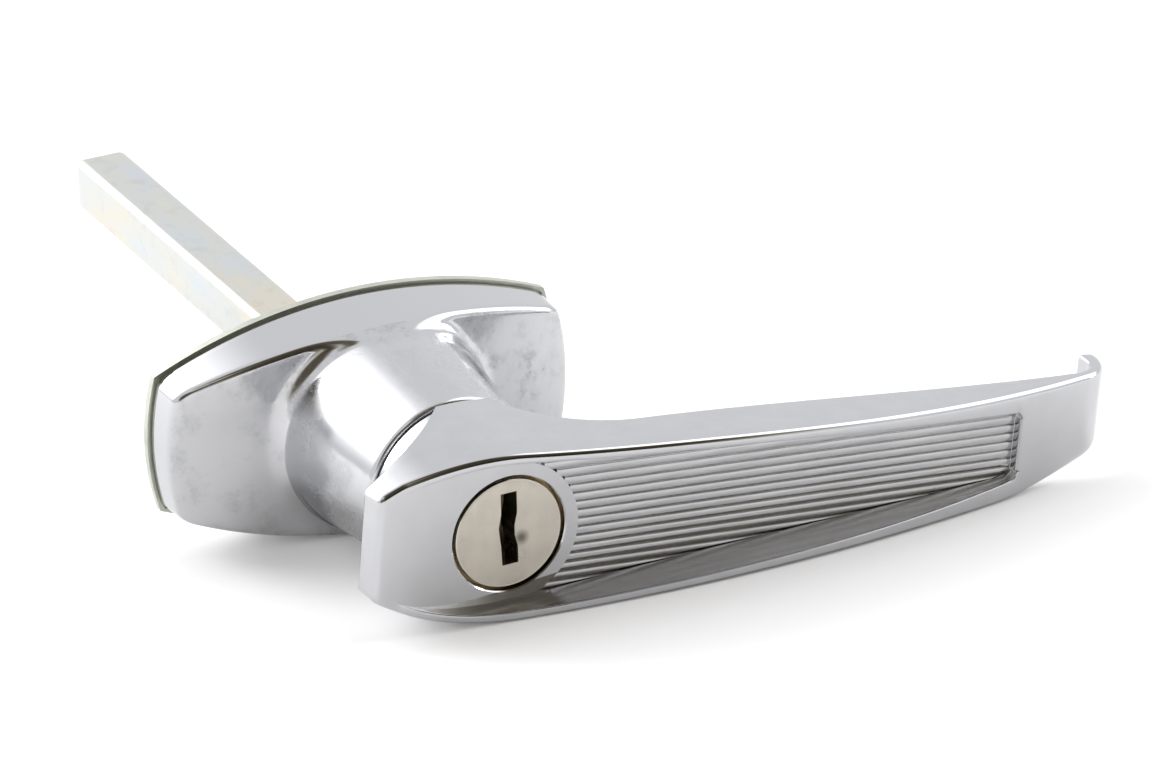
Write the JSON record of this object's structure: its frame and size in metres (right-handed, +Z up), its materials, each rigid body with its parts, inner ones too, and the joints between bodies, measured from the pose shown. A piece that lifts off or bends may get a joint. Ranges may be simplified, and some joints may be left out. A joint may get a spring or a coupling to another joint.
{
  "type": "l-handle lock",
  "caption": "Locking L-handle: bowed chrome lever with a fluted recess and keyed cylinder, turning in a hubbed rose, with a long square spindle through the door.",
  "frame": {"origin": "on the spindle's axis, in the mounting face of the back plate", "axes": "+Y into the door along the spindle, -Y towards the user, +X along the rose towards the tip of the grip, +Z up"},
  "size_m": [0.1282, 0.1441, 0.0332],
  "materials": {
    "chrome_grip": "mirror chrome on a zinc casting",
    "chrome_rose": "mirror chrome with water marks on the wings",
    "zinc_plate": "zinc plated sheet steel",
    "zinc_bar": "zinc plated drawn bar with a faint passivated tint",
    "gasket": "thin black sheet",
    "dark_washer": "thin dark washer",
    "nickel_face": "worn nickel plate on brass",
    "brass": "turned and stamped brass",
    "steel": "plain steel",
    "spring_wire": "drawn spring wire"
  },
  "bodies": {
    "rose": {"back_plate": "zinc_plate", "base_gasket": "gasket", "escutcheon": "chrome_rose", "hub_washer": "dark_washer"},
    "lever": {"handle": "chrome_grip", "spindle": "zinc_bar", "spindle_pin": "steel", "stop_washer": "steel", "spring_washer": "steel", "retaining_ring": "steel", "lock_sleeve": "brass", "sleeve_pin": "steel"},
    "plug": {"lock_plug": "nickel_face", "plug_clip": "steel", "tumbler_springs": "spring_wire"},
    "wafer_1": {"tumbler_1": "brass"},
    "wafer_2": {"tumbler_2": "brass"},
    "wafer_3": {"tumbler_3": "brass"},
    "wafer_4": {"tumbler_4": "brass"},
    "wafer_5": {"tumbler_5": "brass"},
    "bolt": {"locking_bolt": "steel"}
  },
  "joints": [
    {"name": "handle_turn", "type": "hinge", "parent": "rose", "child": "lever", "pos_m": [0, 0, 0], "axis": [0, -1, 0], "range_deg": [0, 90]},
    {"name": "plug_turn", "type": "hinge", "parent": "lever", "child": "plug", "pos_m": [0, -0.04, 0], "axis": [0, -1, 0], "range_deg": [0, 90]},
    {"name": "bolt_slide", "type": "slide", "parent": "lever", "child": "bolt", "axis": [0, 0, 1], "range_m": [0, 0.00213]},
    {"name": "wafer_slide_1", "type": "slide", "parent": "plug", "child": "wafer_1", "axis": [0, 0, 1], "range_m": [0, 0.00085], "deforming": ["tumbler_springs"]},
    {"name": "wafer_slide_2", "type": "slide", "parent": "plug", "child": "wafer_2", "axis": [0, 0, 1], "range_m": [0, 0.00086]},
    {"name": "wafer_slide_3", "type": "slide", "parent": "plug", "child": "wafer_3", "axis": [0, 0, 1], "range_m": [0, 0.00086]},
    {"name": "wafer_slide_4", "type": "slide", "parent": "plug", "child": "wafer_4", "axis": [0, 0, 1], "range_m": [0, 0.00086]},
    {"name": "wafer_slide_5", "type": "slide", "parent": "plug", "child": "wafer_5", "axis": [0, 0, 1], "range_m": [0, 0.00086]}
  ],
  "couplings": [
    {"joint": "bolt_slide", "follows": "plug_turn", "m_per_rad": 0.00135},
    {"joint": "wafer_slide_2", "follows": "wafer_slide_1", "ratio": 1},
    {"joint": "wafer_slide_3", "follows": "wafer_slide_1", "ratio": 1},
    {"joint": "wafer_slide_4", "follows": "wafer_slide_1", "ratio": 1},
    {"joint": "wafer_slide_5", "follows": "wafer_slide_1", "ratio": 1}
  ]
}
